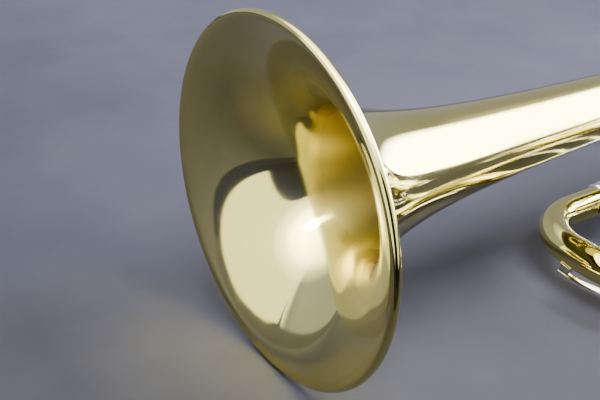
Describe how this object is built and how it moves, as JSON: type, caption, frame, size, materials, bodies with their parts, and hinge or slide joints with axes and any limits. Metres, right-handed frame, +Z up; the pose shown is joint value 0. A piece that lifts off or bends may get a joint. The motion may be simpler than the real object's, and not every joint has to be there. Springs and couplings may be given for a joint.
{
  "type": "trumpet",
  "caption": "B-flat trumpet with piston valves, sliding tuning crooks, water keys and mouthpiece, lying on its right side.",
  "frame": {"origin": "middle of the trumpet's footprint, on the surface it lies on", "axes": "+X from the bell mouth back to the mouthpiece, +Y from the bottom caps to the valve buttons, +Z up from the surface, towards the bell side"},
  "size_m": [0.5491, 0.1596, 0.123],
  "materials": {
    "lacquered_brass": "mirror polished under clear lacquer",
    "button_brass": "polished under clear lacquer",
    "nickel_silver": "polished nickel silver",
    "piston_nickel": "honed nickel plate",
    "spring_steel": "drawn wire",
    "pearl": "pearlescent gloss",
    "felt": "pressed felt",
    "cork": "natural cork",
    "silver_plate": "silver plate"
  },
  "bodies": {
    "trumpet": {"bell": "lacquered_brass", "bell_bow": "lacquered_brass", "bell_brace_front": "nickel_silver", "bell_brace_rear": "nickel_silver", "bell_ferrule": "nickel_silver", "bell_return_tube": "lacquered_brass", "bottom_cap_1": "nickel_silver", "bottom_cap_2": "nickel_silver", "bottom_cap_3": "nickel_silver", "finger_hook": "nickel_silver", "first_sleeve_lower": "nickel_silver", "first_sleeve_upper": "nickel_silver", "leadpipe": "lacquered_brass", "link_tube_12": "lacquered_brass", "link_tube_23": "lacquered_brass", "mouthpiece_receiver": "nickel_silver", "second_sleeve_lower": "nickel_silver", "second_sleeve_upper": "nickel_silver", "sleeve_brace": "nickel_silver", "third_sleeve_lower": "nickel_silver", "third_sleeve_upper": "nickel_silver", "third_valve_elbow": "lacquered_brass", "top_cap_1": "nickel_silver", "top_cap_2": "nickel_silver", "top_cap_3": "nickel_silver", "tuning_sleeve_lower": "nickel_silver", "tuning_sleeve_upper": "nickel_silver", "valve_casing_1": "lacquered_brass", "valve_casing_2": "lacquered_brass", "valve_casing_3": "lacquered_brass", "valve_spring_1": "spring_steel", "valve_spring_2": "spring_steel", "valve_spring_3": "spring_steel"},
    "tuning_slide": {"tuning_bow": "lacquered_brass", "tuning_leg_upper": "nickel_silver", "tuning_leg_lower": "nickel_silver", "tuning_slide_brace": "nickel_silver", "water_nipple": "nickel_silver"},
    "water_key": {"water_key_lever": "nickel_silver", "water_key_cork": "cork"},
    "third_slide": {"third_slide_tube": "lacquered_brass", "third_finger_ring": "nickel_silver"},
    "third_water_key": {"third_water_key_lever": "nickel_silver", "third_water_key_cork": "cork"},
    "first_slide": {"first_slide_tube": "lacquered_brass", "first_thumb_saddle": "nickel_silver"},
    "second_slide": {"second_slide_tube": "lacquered_brass"},
    "mouthpiece": {"mouthpiece": "silver_plate"},
    "valve_1": {"piston_1": "piston_nickel", "button_stem_1": "button_brass", "button_pearl_1": "pearl", "button_felt_1": "felt"},
    "valve_2": {"piston_2": "piston_nickel", "button_stem_2": "button_brass", "button_pearl_2": "pearl", "button_felt_2": "felt"},
    "valve_3": {"piston_3": "piston_nickel", "button_stem_3": "button_brass", "button_pearl_3": "pearl", "button_felt_3": "felt"}
  },
  "joints": [
    {"name": "valve_1_press", "type": "slide", "parent": "trumpet", "child": "valve_1", "axis": [0, -1, 0], "range_m": [0, 0.0168], "stiffness_N_per_m": 90, "springref_m": -0.03, "deforming": ["valve_spring_1"]},
    {"name": "valve_2_press", "type": "slide", "parent": "trumpet", "child": "valve_2", "axis": [0, -1, 0], "range_m": [0, 0.0168], "stiffness_N_per_m": 90, "springref_m": -0.03, "deforming": ["valve_spring_2"]},
    {"name": "valve_3_press", "type": "slide", "parent": "trumpet", "child": "valve_3", "axis": [0, -1, 0], "range_m": [0, 0.0168], "stiffness_N_per_m": 90, "springref_m": -0.03, "deforming": ["valve_spring_3"]},
    {"name": "tuning_slide_pull", "type": "slide", "parent": "trumpet", "child": "tuning_slide", "axis": [-1, 0, 0], "range_m": [0, 0.05]},
    {"name": "water_key_press", "type": "hinge", "parent": "tuning_slide", "child": "water_key", "pos_m": [-0.1405, -0.04935, 0.0165], "axis": [0, 0, -1], "range_deg": [0, 7.5], "stiffness_Nm_per_rad": 0.12, "springref_deg": -20.05},
    {"name": "third_slide_pull", "type": "slide", "parent": "trumpet", "child": "third_slide", "axis": [-1, 0, 0], "range_m": [0, 0.026]},
    {"name": "third_water_key_press", "type": "hinge", "parent": "third_slide", "child": "third_water_key", "pos_m": [-0.1165, -0.05415, 0.046], "axis": [0, 0, -1], "range_deg": [0, 9], "stiffness_Nm_per_rad": 0.12, "springref_deg": -20.05},
    {"name": "first_slide_pull", "type": "slide", "parent": "trumpet", "child": "first_slide", "axis": [1, 0, 0], "range_m": [0, 0.02]},
    {"name": "second_slide_pull", "type": "slide", "parent": "trumpet", "child": "second_slide", "axis": [0, 0, -1], "range_m": [0, 0.008]},
    {"name": "mouthpiece_pull", "type": "slide", "parent": "trumpet", "child": "mouthpiece", "axis": [1, 0, -0.0088], "range_m": [0, 0.03]}
  ]
}
